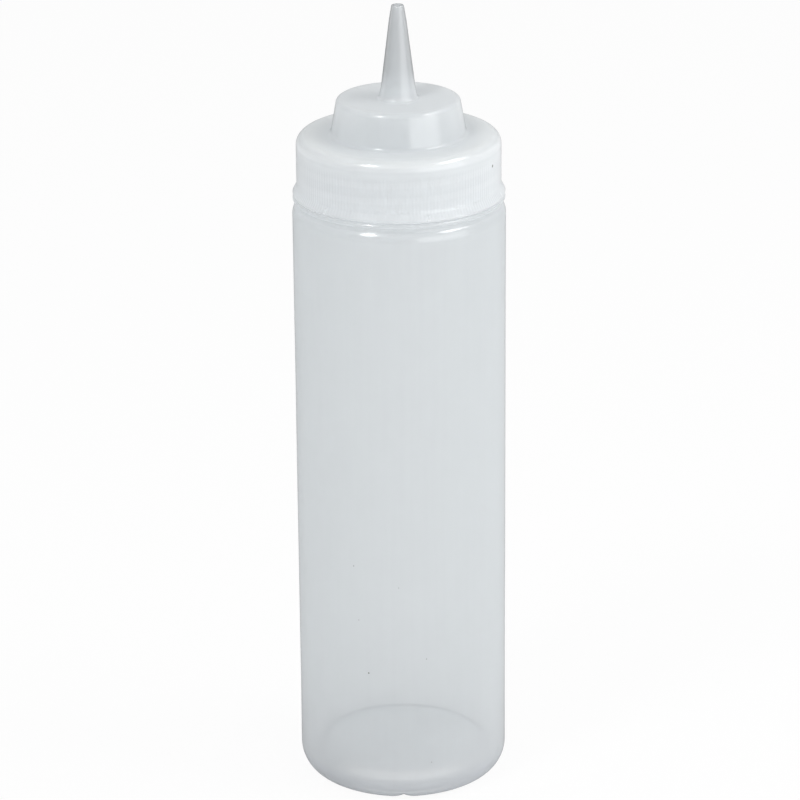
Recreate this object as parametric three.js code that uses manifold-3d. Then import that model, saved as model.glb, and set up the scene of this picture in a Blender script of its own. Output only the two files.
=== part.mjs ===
// A condiment squeeze bottle of 24 ounces. The soft bottle is blow-moulded in one piece with its
// wide threaded neck. A one-piece moulded cap with a ribbed skirt, a raised hub and a cone nozzle
// screws onto the neck, and a sealing washer lies between the bottle's rim and the cap.
// Millimetres, +Z up. The origin is the centre of the base, on the surface that it stands on.

import * as THREE from 'three';
import { mergeVertices } from 'three/addons/utils/BufferGeometryUtils.js';
import Module from 'manifold-3d';

// Bottle: body
const bodyRadius = 35;
const bodyHeight = 202.4;
const bodyWall = 1.1;
const heelWidth = 6.3;
const heelHeight = 8.2;
const shoulderHeight = 4.2;

// Bottle: base, pushed up inside the ring that the bottle stands on
const baseThickness = 1.6;
const baseRise = 5.8;
const baseCrown = 0.6;
const baseDraft = 0.2;
const baseRound = 1.2;
const standWidth = 1.2;

// Bottle: the parting notch that the mould leaves at the front and back of the heel
const notchDepth = 0.7;
const notchWidth = 5.4;
const notchTiltShare = 0.25;

// Bottle: neck, set in from the body
const neckInset = 5;
const neckWall = 1.2;
const neckHeight = 17.3;
const rimRound = 0.3;
const grooveInset = 3.4;
const grooveGap = 0.8;
const beadInset = 0.2;
const beadHeight = 1.4;

// Screw thread, the same on the neck and in the cap
const threadPitch = 5.08;
const threadDepth = 1.4;
const threadRootWidth = 2.2;
const threadCrestWidth = 0.9;
const threadStartGap = 3.1;
const threadRimGap = 1.3;
const threadRunOutTurns = 1 / 12;
const threadRunOutShare = 0.15;
const neckThreadTurn = 0;

// Clearances between the pieces
const threadClearance = 0.6;
const flankClearance = 0.35;
const seatGap = 0.3;
const lipGap = 0.35;

// Cap: skirt, lip and top
const skirtWall = 1.5;
const topThickness = 1.5;
const topEdgeRound = 3.65;
const ceilingRound = 1;
const ribCount = 180;
const ribDepth = 0.3;
const ribBacking = 0.2;
const smoothBandHeight = 5.1;
const lipFlare = 1.3;
const lipHeight = 3.15;
const lipRound = 0.7;

// Cap: six small ribs inside the lip, which keep it centred over the thread
const lugCount = 6;
const lugWidth = 0.9;
const lugDepth = 0.8;
const lugHeight = 2;
const lugGap = 0.3;
const firstLugTurnShare = 16 / 360;

// Cap: hub
const hubRadius = 21.9;
const hubHeight = 11.8;
const hubDraft = 1.5;
const hubWall = 1.5;
const hubRimRound = 1.7;
const hubFootRound = 0.8;

// Cap: cone nozzle
const nozzleRadius = 6.26;
const nozzleHeight = 31;
const nozzleFootRound = 1;
const nozzleWall = 1.4;
const tipRadius = 2.35;
const tipLength = 3.6;
const tipStep = 0.16;
const tipRound = 0.6;
const tipBoreRadius = 1.4;

// Sealing washer
const washerThickness = 1.2;
const washerInnerOverhang = 1.6;
const washerOuterOverhang = 0.8;
const washerChamfer = 0.2;

// Fineness of the round shapes
const turnedSides = 40;
const nozzleSides = 24;
const arcSteps = 2;
const overrun = 2;

const quarterTurn = Math.PI / 2;
const fullTurn = 2 * Math.PI;

// Radii and heights that follow from the sizes above
const heelCentre = bodyRadius - heelWidth;
const recessRadius = heelCentre - standWidth;
const neckRadius = bodyRadius - neckInset;
const neckInnerRadius = neckRadius - neckWall;
const grooveRadius = bodyRadius - grooveInset;
const beadRadius = bodyRadius - beadInset;
const beadBottom = bodyHeight + grooveGap;
const beadTop = beadBottom + beadHeight;
const rimTop = beadTop + neckHeight;

const skirtInnerRadius = neckRadius + threadDepth + threadClearance;
const skirtRadius = skirtInnerRadius + skirtWall;
const skirtBottom = beadTop + lipGap;
const flareTop = skirtBottom + lipHeight;
const lipRadius = skirtRadius + lipFlare;
const washerBottom = rimTop + seatGap;
const ceiling = washerBottom + washerThickness + seatGap;
const capTop = ceiling + topThickness;
const ribTop = capTop - smoothBandHeight;
const hubTop = capTop + hubHeight;
const nozzleTop = hubTop + nozzleHeight;

const threadLow = beadTop + threadStartGap + threadRootWidth / 2;
const threadHigh = rimTop - threadRimGap - threadRootWidth / 2;
const capThreadLow = flareTop + threadRootWidth / 2 + flankClearance;

const wasm = await Module();
wasm.setup();

// A closed geometry as a solid that can be joined and cut. A shape wound the other way is turned.
function solid(geometry) {
  const bare = geometry.clone();
  bare.deleteAttribute('normal');
  bare.deleteAttribute('uv');
  const merged = mergeVertices(bare);
  const corners = Uint32Array.from(merged.index.array);
  if (signedVolume(merged.getAttribute('position'), corners) < 0) corners.reverse();
  const mesh = new wasm.Mesh({
    numProp: 3,
    vertProperties: Float32Array.from(merged.getAttribute('position').array),
    triVerts: corners,
  });
  mesh.merge();
  return new wasm.Manifold(mesh);
}

function signedVolume(position, corners) {
  const a = new THREE.Vector3();
  const b = new THREE.Vector3();
  const c = new THREE.Vector3();
  let sum = 0;
  for (let i = 0; i < corners.length; i += 3) {
    a.fromBufferAttribute(position, corners[i]);
    b.fromBufferAttribute(position, corners[i + 1]);
    c.fromBufferAttribute(position, corners[i + 2]);
    sum += a.dot(b.cross(c)) / 6;
  }
  return sum;
}

// A solid back as a named mesh.
function piece(name, shape, material) {
  const { vertProperties, triVerts } = shape.getMesh();
  const geometry = new THREE.BufferGeometry();
  geometry.setAttribute('position', new THREE.BufferAttribute(vertProperties, 3));
  geometry.setIndex(new THREE.BufferAttribute(triVerts, 1));
  geometry.computeVertexNormals();
  const mesh = new THREE.Mesh(geometry, material);
  mesh.name = name;
  return mesh;
}

// An outline of radius and height, turned about the Z axis.
function turned(outline, sides) {
  const lathe = new THREE.LatheGeometry(outline.getPoints(arcSteps), sides);
  lathe.rotateX(quarterTurn);
  return solid(lathe);
}

// A thread ridge: a straight bar of trapezoid section, wound onto a helix. It stands on the root
// radius, outward on a neck or inward in a cap, and both ends run out into the wall. The bar's
// steps fall on the wall's own flats, so the ridge starts on the first edge after its start turn.
function threadRidge(rootRadius, direction, sink, low, high, startTurn) {
  const firstTurn = Math.ceil(startTurn * turnedSides) / turnedSides;
  const start = low + threadPitch * (firstTurn - startTurn);
  const steps = Math.floor((high - start) / threadPitch * turnedSides);
  const turns = steps / turnedSides;
  const section = new THREE.Shape();
  section.moveTo(-sink, -threadRootWidth / 2);
  section.lineTo(0, -threadRootWidth / 2);
  section.lineTo(threadDepth, -threadCrestWidth / 2);
  section.lineTo(threadDepth, threadCrestWidth / 2);
  section.lineTo(0, threadRootWidth / 2);
  section.lineTo(-sink, threadRootWidth / 2);
  const bar = new THREE.ExtrudeGeometry(section, { depth: 1, steps, bevelEnabled: false });
  const position = bar.getAttribute('position');
  for (let i = 0; i < position.count; i += 1) {
    const turn = position.getZ(i) * turns;
    const fromEnd = Math.min(turn, turns - turn);
    const fullness = Math.max(threadRunOutShare, Math.min(1, fromEnd / threadRunOutTurns));
    const stand = (position.getX(i) + sink) * fullness - sink;
    const radius = rootRadius + direction * stand;
    const angle = fullTurn * (firstTurn + turn);
    const height = start + threadPitch * turn + position.getY(i);
    position.setXYZ(i, radius * Math.sin(angle), -radius * Math.cos(angle), height);
  }
  return solid(bar);
}

// Bottle

function bottleOutline() {
  const shoulderWidth = bodyRadius - grooveRadius;
  const shoulderStart = bodyHeight - shoulderHeight;
  const beadRound = beadHeight / 2;
  const outline = new THREE.Path();
  outline.moveTo(0, baseRise + baseCrown);
  outline.lineTo(recessRadius - baseDraft - baseRound, baseRise);
  outline.lineTo(recessRadius - baseDraft, baseRise - baseRound);
  outline.lineTo(recessRadius, 0);
  outline.absellipse(heelCentre, heelHeight, heelWidth, heelHeight, -quarterTurn, 0, false);
  outline.absellipse(grooveRadius, shoulderStart, shoulderWidth, shoulderHeight, 0, quarterTurn, false);
  outline.lineTo(grooveRadius, beadBottom);
  outline.absarc(beadRadius - beadRound, beadBottom + beadRound, beadRound, -quarterTurn, quarterTurn, false);
  outline.lineTo(neckRadius, beadTop);
  outline.lineTo(neckRadius, rimTop - rimRound);
  outline.lineTo(neckRadius - rimRound, rimTop);
  outline.lineTo(neckInnerRadius + rimRound, rimTop);
  outline.lineTo(neckInnerRadius, rimTop - rimRound);
  outline.lineTo(neckInnerRadius, beadBottom);
  const innerShoulder = [shoulderWidth - bodyWall, shoulderHeight - bodyWall];
  outline.absellipse(grooveRadius, shoulderStart, ...innerShoulder, quarterTurn, 0, true);
  const innerHeelWidth = heelWidth - bodyWall;
  const panelRadius = recessRadius - baseDraft + baseThickness;
  const panelTop = baseRise + baseThickness;
  const troughEnd = -Math.acos((recessRadius + baseThickness - heelCentre) / innerHeelWidth);
  const innerHeel = [innerHeelWidth, heelHeight - baseThickness];
  outline.absellipse(heelCentre, heelHeight, ...innerHeel, 0, troughEnd, true);
  outline.lineTo(panelRadius, panelTop - baseRound);
  outline.lineTo(panelRadius - baseRound, panelTop);
  outline.lineTo(0, panelTop + baseCrown);
  return outline;
}

// The notch is a soft valley pressed into the round of the heel. Its cutter is a bar with one
// ridged face, laid along the heel's tangent so that it runs out of the surface above and below.
function partingNotch(side) {
  const tilt = notchTiltShare * quarterTurn;
  const tangentRadius = heelCentre + heelWidth * Math.sin(tilt);
  const tangentHeight = heelHeight * (1 - Math.cos(tilt));
  const slope = Math.atan2(heelHeight * Math.sin(tilt), heelWidth * Math.cos(tilt));
  const valley = new THREE.Shape();
  valley.moveTo(-notchWidth / 2, -overrun);
  valley.lineTo(-notchWidth / 2, 0);
  valley.quadraticCurveTo(-notchWidth / 8, 0, 0, notchDepth);
  valley.quadraticCurveTo(notchWidth / 8, 0, notchWidth / 2, 0);
  valley.lineTo(notchWidth / 2, -overrun);
  const length = heelWidth;
  const bar = new THREE.ExtrudeGeometry(valley, { depth: length, bevelEnabled: false, curveSegments: 4 });
  bar.translate(0, 0, -length / 2);
  bar.rotateX(quarterTurn + side * slope);
  bar.translate(0, side * tangentRadius, tangentHeight);
  return solid(bar);
}

function bottleShape() {
  const sink = neckWall / 3;
  return turned(bottleOutline(), turnedSides)
    .add(threadRidge(neckRadius, 1, sink, threadLow, threadHigh, neckThreadTurn))
    .subtract(partingNotch(-1))
    .subtract(partingNotch(1));
}

// Cap

function capShellOutline() {
  const backingRadius = skirtRadius - ribDepth - ribBacking;
  const lipBackingRadius = lipRadius - ribDepth - ribBacking;
  const hubRimRadius = hubRadius - hubDraft;
  const outline = new THREE.Path();
  outline.moveTo(lipRadius - skirtWall, skirtBottom);
  outline.lineTo(lipBackingRadius - lipRound / 2, skirtBottom);
  outline.lineTo(lipBackingRadius, skirtBottom + lipRound);
  outline.lineTo(backingRadius, flareTop);
  outline.lineTo(backingRadius, ribTop);
  outline.lineTo(skirtRadius, ribTop);
  outline.absarc(skirtRadius - topEdgeRound, capTop - topEdgeRound, topEdgeRound, 0, quarterTurn, false);
  const hubFoot = [hubRadius + hubFootRound, capTop + hubFootRound, hubFootRound];
  outline.absarc(...hubFoot, -quarterTurn, -fullTurn / 2, true);
  outline.absarc(hubRimRadius - hubRimRound, hubTop - hubRimRound, hubRimRound, 0, quarterTurn, false);
  outline.lineTo(0, hubTop);
  outline.lineTo(0, hubTop - hubWall);
  outline.lineTo(hubRimRadius - hubWall - hubFootRound, hubTop - hubWall);
  outline.lineTo(hubRimRadius - hubWall, hubTop - hubWall - hubFootRound);
  outline.lineTo(hubRadius - hubWall, ceiling);
  outline.absarc(skirtInnerRadius - ceilingRound, ceiling - ceilingRound, ceilingRound, quarterTurn, 0, true);
  outline.lineTo(skirtInnerRadius, flareTop);
  outline.closePath();
  return outline;
}

// The ribbed band of the skirt with its flared lip. Every second column of the turned ring is
// pulled in from the ribs' crests to the grooves between them. Its inside lies in the skirt's wall.
function ribbedBand() {
  const inset = ribDepth + 2 * ribBacking;
  const outside = [
    [lipRadius - lipRound / 2, skirtBottom],
    [lipRadius, skirtBottom + lipRound],
    [skirtRadius, flareTop],
    [skirtRadius, ribTop],
  ];
  const inside = outside.map(([radius, height]) => [radius - inset, radius - inset, height]);
  inside[outside.length - 1][2] += ribBacking;
  const rows = outside.map(([radius, height]) => [radius, radius - ribDepth, height]);
  rows.push(...inside.reverse(), rows[0]);
  const crests = rows.map(([crest, , height]) => new THREE.Vector2(crest, height));
  const ring = new THREE.LatheGeometry(crests, 2 * ribCount);
  const position = ring.getAttribute('position');
  for (let column = 1; column < 2 * ribCount; column += 2) {
    rows.forEach(([crest, groove], row) => {
      const i = column * rows.length + row;
      const shrink = groove / crest;
      position.setX(i, position.getX(i) * shrink);
      position.setZ(i, position.getZ(i) * shrink);
    });
  }
  ring.rotateX(quarterTurn);
  return solid(ring);
}

function nozzleOutline() {
  const taper = (nozzleRadius - tipRadius) / nozzleHeight;
  const stepHeight = nozzleTop - tipLength;
  const stepRadius = nozzleRadius - taper * (nozzleHeight - tipLength);
  const outline = new THREE.Path();
  outline.moveTo(0, hubTop - hubWall / 2);
  outline.lineTo(nozzleRadius + nozzleFootRound, hubTop - hubWall / 2);
  const foot = [nozzleRadius + nozzleFootRound, hubTop + nozzleFootRound, nozzleFootRound];
  outline.absarc(...foot, -quarterTurn, -fullTurn / 2, true);
  outline.lineTo(stepRadius, stepHeight);
  outline.lineTo(stepRadius - tipStep, stepHeight);
  outline.absarc(tipRadius - tipStep - tipRound, nozzleTop - tipRound, tipRound, 0, quarterTurn, false);
  outline.lineTo(0, nozzleTop);
  return outline;
}

function boreOutline() {
  const boreRadius = nozzleRadius - nozzleWall;
  const boreTaper = (boreRadius - tipBoreRadius) / nozzleHeight;
  const outline = new THREE.Path();
  outline.moveTo(0, hubTop - hubWall - overrun);
  outline.lineTo(boreRadius + boreTaper * (hubWall + overrun), hubTop - hubWall - overrun);
  outline.lineTo(tipBoreRadius - boreTaper * tipRound, nozzleTop + tipRound);
  outline.lineTo(0, nozzleTop + tipRound);
  return outline;
}

function lipLug(turn) {
  const wallRadius = lipRadius - skirtWall;
  const depth = lugDepth + skirtWall / 2;
  const lug = new THREE.BoxGeometry(lugWidth, depth, lugHeight);
  lug.translate(0, lugDepth - depth / 2 - wallRadius, skirtBottom + lugGap + lugHeight / 2);
  lug.rotateZ(fullTurn * turn);
  return solid(lug);
}

function capShape() {
  const flankSlope = (threadRootWidth - threadCrestWidth) / 2 / threadDepth;
  const meshedWidth = threadRootWidth - (threadDepth + threadClearance) * flankSlope;
  const lead = capThreadLow + meshedWidth + flankClearance - threadLow;
  const startTurn = neckThreadTurn + lead / threadPitch;
  const sink = (skirtWall - ribDepth) / 3;
  let shape = turned(capShellOutline(), turnedSides)
    .add(ribbedBand())
    .add(threadRidge(skirtInnerRadius, -1, sink, capThreadLow, threadHigh, startTurn))
    .add(turned(nozzleOutline(), nozzleSides))
    .subtract(turned(boreOutline(), nozzleSides));
  for (let i = 0; i < lugCount; i += 1) shape = shape.add(lipLug(firstLugTurnShare + i / lugCount));
  return shape;
}

// Sealing washer

function washerOutline() {
  const inner = neckInnerRadius - washerInnerOverhang;
  const outer = neckRadius + washerOuterOverhang;
  const top = washerBottom + washerThickness;
  const outline = new THREE.Path();
  outline.moveTo(inner, washerBottom);
  outline.lineTo(outer - washerChamfer, washerBottom);
  outline.lineTo(outer, washerBottom + washerChamfer);
  outline.lineTo(outer, top - washerChamfer);
  outline.lineTo(outer - washerChamfer, top);
  outline.lineTo(inner, top);
  outline.closePath();
  return outline;
}

const bottlePlastic = new THREE.MeshStandardMaterial({ color: 0xdbe1df, roughness: 0.4, metalness: 0 });
const capPlastic = new THREE.MeshStandardMaterial({ color: 0xe6e9ec, roughness: 0.35, metalness: 0 });
const washerFoam = new THREE.MeshStandardMaterial({ color: 0xf1f0ea, roughness: 0.8, metalness: 0 });

const squeezeBottle = new THREE.Group();
squeezeBottle.add(piece('bottle', bottleShape(), bottlePlastic));
squeezeBottle.add(piece('sealing_washer', turned(washerOutline(), turnedSides), washerFoam));
squeezeBottle.add(piece('screw_cap', capShape(), capPlastic));

export default squeezeBottle;
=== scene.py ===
# %% [markdown]
# # A condiment squeeze bottle
#
# The real bottle is three pieces of polyethylene: a blow-moulded bottle with a wide threaded
# neck, a moulded screw cap with a ribbed skirt, a raised hub and a cone nozzle, and a foam
# washer that seals the two. All three stand in one frame, in metres, with +Z up and the front
# of the bottle towards -Y. The frame gives where each piece is and what it moves with. This
# script makes the fine surfaces and the finishes.

# %% Load the frame
import math
from typing import NamedTuple

import bmesh
import bpy
import numpy as np
from mathutils import Matrix, Vector


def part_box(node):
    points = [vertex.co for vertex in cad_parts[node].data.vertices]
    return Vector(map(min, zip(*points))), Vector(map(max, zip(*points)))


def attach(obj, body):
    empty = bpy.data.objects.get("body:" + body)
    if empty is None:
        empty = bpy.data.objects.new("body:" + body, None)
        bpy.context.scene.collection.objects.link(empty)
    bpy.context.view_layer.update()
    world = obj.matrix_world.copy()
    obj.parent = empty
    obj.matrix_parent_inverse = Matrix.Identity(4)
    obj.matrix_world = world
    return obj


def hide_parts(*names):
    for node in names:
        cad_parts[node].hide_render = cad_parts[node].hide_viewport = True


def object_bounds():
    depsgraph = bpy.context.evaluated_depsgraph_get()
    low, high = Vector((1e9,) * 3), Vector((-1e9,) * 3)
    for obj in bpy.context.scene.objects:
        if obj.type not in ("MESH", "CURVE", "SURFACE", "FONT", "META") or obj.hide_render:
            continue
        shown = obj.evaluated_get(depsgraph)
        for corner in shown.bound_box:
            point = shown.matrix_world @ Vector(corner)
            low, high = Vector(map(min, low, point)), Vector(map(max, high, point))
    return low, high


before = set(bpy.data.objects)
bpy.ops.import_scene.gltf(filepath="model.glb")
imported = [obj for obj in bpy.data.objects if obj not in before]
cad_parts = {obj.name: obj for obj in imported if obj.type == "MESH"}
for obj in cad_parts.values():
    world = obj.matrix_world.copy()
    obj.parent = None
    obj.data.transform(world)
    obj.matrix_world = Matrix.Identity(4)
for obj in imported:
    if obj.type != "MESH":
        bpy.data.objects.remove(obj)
cad_low, cad_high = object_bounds()
mm = 0.001
print("Pieces in the frame:", sorted(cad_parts))
print("Its box in millimetres:", [round(side / mm, 1) for side in cad_high - cad_low])

# %% [markdown]
# ## The view
#
# The bottle is seen from a little above, by a long lens that stands well back, so its sides
# are nearly parallel. The camera could be aimed at a target with a constraint. Here its place,
# a fifth of a millimetre off the middle, its pitch and its slight roll are turned into one
# matrix, which keeps the tiny lean that the upright bottle has in the picture.

# %% Camera
camera_side = -0.00022
camera_back = 1.1969
camera_height = 0.5834
camera_pitch = math.radians(20.656)
camera_roll = math.radians(0.463)
camera_lens = 172.43
camera_reach = 20


def add_object(name, data):
    item = bpy.data.objects.new(name, data)
    bpy.context.scene.collection.objects.link(item)
    return item


def make_camera():
    data = bpy.data.cameras.new("camera")
    data.lens = camera_lens
    data.clip_end = camera_reach
    camera = add_object("camera", data)
    place = Matrix.Translation((camera_side, -camera_back, camera_height))
    tilt = Matrix.Rotation(math.pi / 2 - camera_pitch, 4, "X")
    lean = Matrix.Rotation(-camera_roll, 4, "Z")
    camera.matrix_world = place @ tilt @ lean
    return camera


bpy.context.scene.camera = make_camera()
bpy.context.scene.view_settings.view_transform = "Standard"
print("Camera at", [round(x, 3) for x in bpy.context.scene.camera.location])

# %% [markdown]
# ## Shader maths as plain expressions
#
# A finish is a graph of nodes. Wiring each Math node by hand hides the idea behind it, so one
# small class wraps an output socket and overloads the operators: `1 - mask * 0.5` then adds
# the two Math nodes by itself. Every other node comes from one method that takes the node's
# type, its settings and the values or wires of its inputs.

# %% Node graph helpers
def operator_pair(operation):
    """An operator of a wire and its reflected form. Each adds one Math node."""

    def plain(self, other):
        return self.graph.maths(operation, self, other)

    def reflected(self, other):
        return self.graph.maths(operation, other, self)

    return plain, reflected


class Wire:
    """An output socket of a node, which can be used in sums."""

    def __init__(self, graph, socket):
        self.graph = graph
        self.socket = socket

    __add__, __radd__ = operator_pair("ADD")
    __sub__, __rsub__ = operator_pair("SUBTRACT")
    __mul__, __rmul__ = operator_pair("MULTIPLY")
    __truediv__, __rtruediv__ = operator_pair("DIVIDE")
    __mod__, __rmod__ = operator_pair("FLOORED_MODULO")
    __pow__, __rpow__ = operator_pair("POWER")

    def __neg__(self):
        return self * -1

    def __abs__(self):
        return self.graph.maths("ABSOLUTE", self)

    def at_least(self, other):
        return self.graph.maths("MAXIMUM", self, other)

    def above(self, low, high):
        """0 below low and 1 above high, with a smooth step between them."""
        settings = {"interpolation_type": "SMOOTHSTEP"}
        values = {"Value": self, "From Min": low, "From Max": high}
        return self.graph.add("ShaderNodeMapRange", settings, values)

    def below(self, low, high):
        return 1 - self.above(low, high)

    def beside(self, output):
        """Another output of the same node."""
        return Wire(self.graph, self.socket.node.outputs[output])


class Graph:
    """The node tree of a material or a world, empty at first."""

    def __init__(self, owner):
        owner.use_nodes = True
        self.tree = owner.node_tree
        self.tree.nodes.clear()

    def add(self, kind, settings=None, inputs=None, output=0):
        """A node of any kind. Its inputs are values or wires, by name or number."""
        node = self.tree.nodes.new(kind)
        for key, value in (settings or {}).items():
            setattr(node, key, value)
        for key, value in (inputs or {}).items():
            if isinstance(value, Wire):
                self.tree.links.new(value.socket, node.inputs[key])
            else:
                node.inputs[key].default_value = value
        return Wire(self, node.outputs[output])

    def maths(self, operation, *terms):
        return self.add("ShaderNodeMath", {"operation": operation}, dict(enumerate(terms)))

    def end(self, kind, wire):
        """The output node that the surface or the background goes to."""
        self.tree.links.new(wire.socket, self.tree.nodes.new(kind).inputs[0])


print("Operators that a wire knows:", "+ - * / % ** abs")

# %% [markdown]
# ## Room, floor and lamps
#
# The bottle stands in a white light tent. A brighter room would wash the pale plastic out, so
# the room and the floor are white only where the camera, a reflection or a see-through surface
# looks at them, and a plain level lights the object. Two small bright soft boxes, high at the
# front left and on the right, give the short highlights. A wide dim panel at the front right
# makes that side of the bottle a little lighter, as a window or a reflector would.

# %% Room
room_level = 0.61
reflected_white = 0.3
white = (1, 1, 1, 1)


def seen_directly(graph):
    """How white the background is to a ray: fully to the camera and through the plastic, and
    partly in a reflection, so that pale edges stay apart from it."""
    camera = graph.add("ShaderNodeLightPath", output="Is Camera Ray")
    glossy = camera.beside("Is Glossy Ray")
    through = camera.beside("Is Transmission Ray")
    return camera.at_least(through).at_least(reflected_white * glossy)


def make_room():
    world = bpy.data.worlds.new("room")
    room = Graph(world)
    level = room_level + (1 - room_level) * seen_directly(room)
    light = room.add("ShaderNodeBackground", None, {"Color": white, "Strength": level})
    room.end("ShaderNodeOutputWorld", light)
    return world


bpy.context.scene.world = make_room()
print("Room level:", room_level)

# %% Floor
floor_size = 8.0
floor_drop = 0.05 * mm
floor_colour = (0.87, 0.87, 0.87, 1)
floor_whiteness = 0.93


def floor_finish():
    """A pale floor that takes the bottle's shadow, mixed with plain white where it is seen."""
    material = bpy.data.materials.new("pale_floor")
    graph = Graph(material)
    lit = graph.add("ShaderNodeBsdfDiffuse", None, {"Color": floor_colour})
    plain = graph.add("ShaderNodeEmission", None, {"Color": white})
    share = seen_directly(graph) * floor_whiteness
    surface = graph.add("ShaderNodeMixShader", None, {0: share, 1: lit, 2: plain})
    graph.end("ShaderNodeOutputMaterial", surface)
    return material


def make_floor():
    mesh = bpy.data.meshes.new("floor")
    half = floor_size / 2
    corners = [(-half, -half), (half, -half), (half, half), (-half, half)]
    mesh.from_pydata([(x, y, -floor_drop) for x, y in corners], [], [(0, 1, 2, 3)])
    mesh.materials.append(floor_finish())
    return add_object("floor", mesh)


floor = make_floor()
print("Floor side:", floor_size, "m")

# %% Soft boxes
lamp_distance = 1.4
lamp_target = (cad_low + cad_high) / 2
white_lamp_power = 4  # watts per square metre at which a lamp looks as bright as plain white


def soft_box(name, azimuth, elevation, width, height, brightness):
    """A lamp. Its azimuth runs from the front towards +X, and its sides are seen angles."""
    turn, rise = math.radians(azimuth), math.radians(elevation)
    level = math.cos(rise)
    way = Vector((math.sin(turn) * level, -math.cos(turn) * level, math.sin(rise)))
    data = bpy.data.lights.new(name, "AREA")
    data.shape = "RECTANGLE"
    data.size = 2 * lamp_distance * math.tan(math.radians(width) / 2)
    data.size_y = 2 * lamp_distance * math.tan(math.radians(height) / 2)
    data.energy = white_lamp_power * data.size * data.size_y * brightness
    lamp = add_object(name, data)
    lamp.location = lamp_target + way * lamp_distance
    lamp.rotation_euler = way.to_track_quat("Z", "Y").to_euler()
    print(name, "lamp:", round(data.energy, 1), "W")


soft_box("left_box", azimuth=-41, elevation=50, width=11, height=14, brightness=14.2)
soft_box("right_box", azimuth=80, elevation=50, width=26, height=13, brightness=6.3)
soft_box("side_panel", azimuth=48, elevation=8, width=56, height=46, brightness=1.06)

# %% [markdown]
# ## Turned skins
#
# All three pieces are turned shapes with small reliefs: a thread, ribs, lugs, a notch. A lathe
# curve with a Screw modifier would give the turned part, and booleans the reliefs, but booleans
# leave long thin faces that shade badly on soft plastic. Here an outline of radius and height
# becomes rings of points, and a relief moves a ring's points in or out and up or down. Bands
# with finer relief have more columns, and the builder stitches unequal rings together.

# %% Outline helpers
columns = 360


class Band(NamedTuple):
    """Neighbouring points of an outline that share a number of columns and a relief."""

    points: list
    columns: int = columns
    relief: object = None


def line(start, end, steps):
    """Points from start to end, both included."""
    return [tuple(point) for point in np.linspace(start, end, steps + 1)]


def arc(centre, radii, start, end, steps):
    """Points on a circle or, with a pair of radii, on an ellipse. Angles are in degrees: 0
    points outward and 90 up."""
    across, up = radii if isinstance(radii, tuple) else (radii, radii)
    angles = np.radians(np.linspace(start, end, steps + 1))
    return [(centre[0] + across * math.cos(a), centre[1] + up * math.sin(a)) for a in angles]


print("Columns round a piece:", columns)

# %% Relief helpers
def smooth_step(low, high, value):
    """0 below low and 1 above high, with a smooth step between them."""
    share = np.clip((value - low) / (high - low), 0, 1)
    return share * share * (3 - 2 * share)


def from_nearest(turns):
    """How far turns is from a whole number, for numbers and for wires."""
    return abs((turns + 0.5) % 1 - 0.5)


print("1.8 turns are", round(from_nearest(1.8), 1), "from a whole number")

# %% Rings and the faces between them
def ring_points(point, count, relief):
    """A ring at a point of the outline. It starts at the front and runs towards +X."""
    radius, height = point
    turn = np.arange(count) / count
    radii, heights = np.full(count, radius), np.full(count, height)
    if relief is not None:
        out, up = relief(turn, radius, height)
        radii, heights = radii + out, heights + up
    angle = 2 * math.pi * turn
    return np.column_stack((radii * np.sin(angle), -radii * np.cos(angle), heights))


def stitch(first, second):
    """Faces between two rings of vertex numbers. One ring may be a single point or finer."""
    if len(first) > len(second):
        return [face[::-1] for face in stitch(second, first)]
    ends = np.roll(second, -1)
    if len(first) == len(second):
        return np.column_stack((first, np.roll(first, -1), ends, second)).tolist()
    if len(first) == 1:
        return [(first[0], end, start) for start, end in zip(second, ends)]
    ratio = len(second) // len(first)
    faces = []
    for i, (corner, following) in enumerate(zip(first, np.roll(first, -1))):
        for j in range(ratio):
            near = corner if 2 * j < ratio else following
            k = i * ratio + j
            faces.append((near, ends[k], second[k]))
        middle = second[i * ratio + (ratio + 1) // 2]
        faces.append((corner, following, middle))
    return faces


print("Faces between rings of 4 and 8 points:", len(stitch(np.arange(4), np.arange(4, 12))))

# %% Skin builder
sharp_angle = math.radians(50)


def finish_mesh(mesh):
    """Faces outward, and smooth shading but for real edges."""
    work = bmesh.new()
    work.from_mesh(mesh)
    bmesh.ops.recalc_face_normals(work, faces=work.faces)
    work.to_mesh(mesh)
    work.free()
    mesh.validate()
    mesh.shade_smooth()
    mesh.set_sharp_from_angle(angle=sharp_angle)


def turned_skin(name, bands, closed):
    """A piece turned from bands of an outline. A closed outline joins its end to its start."""
    points, rings, faces = [], [], []
    total = 0
    for band in bands:
        for point in band.points:
            count = 1 if point[0] == 0 else band.columns
            points.append(ring_points(point, count, band.relief))
            rings.append(np.arange(total, total + count))
            total += count
    following = rings[1:] + rings[:1] if closed else rings[1:]
    for ring, other in zip(rings, following):
        faces.extend(stitch(ring, other))
    mesh = bpy.data.meshes.new(name)
    mesh.from_pydata((np.concatenate(points) * mm).tolist(), [], faces)
    finish_mesh(mesh)
    print(name, "has", sum(len(face.vertices) - 2 for face in mesh.polygons), "triangles")
    return add_object(name, mesh)


print("Edges stay sharp from", round(math.degrees(sharp_angle)), "degrees")

# %% [markdown]
# ## The screw thread
#
# One rounded ridge winds up the neck, and a matching one winds up inside the cap, a little
# below it, so that they hold each other. A ridge could be a swept curve joined by a boolean.
# As a relief it stays one skin with the wall: a point's height is measured from the nearest
# turn of the helix, and a soft trapezoid of that distance says how far the point stands out.

# %% Thread relief
thread_pitch = 5.08
thread_depth = 1.4
thread_root_width = 2.2
thread_crest_width = 0.9
thread_run_out = 1 / 12


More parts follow.
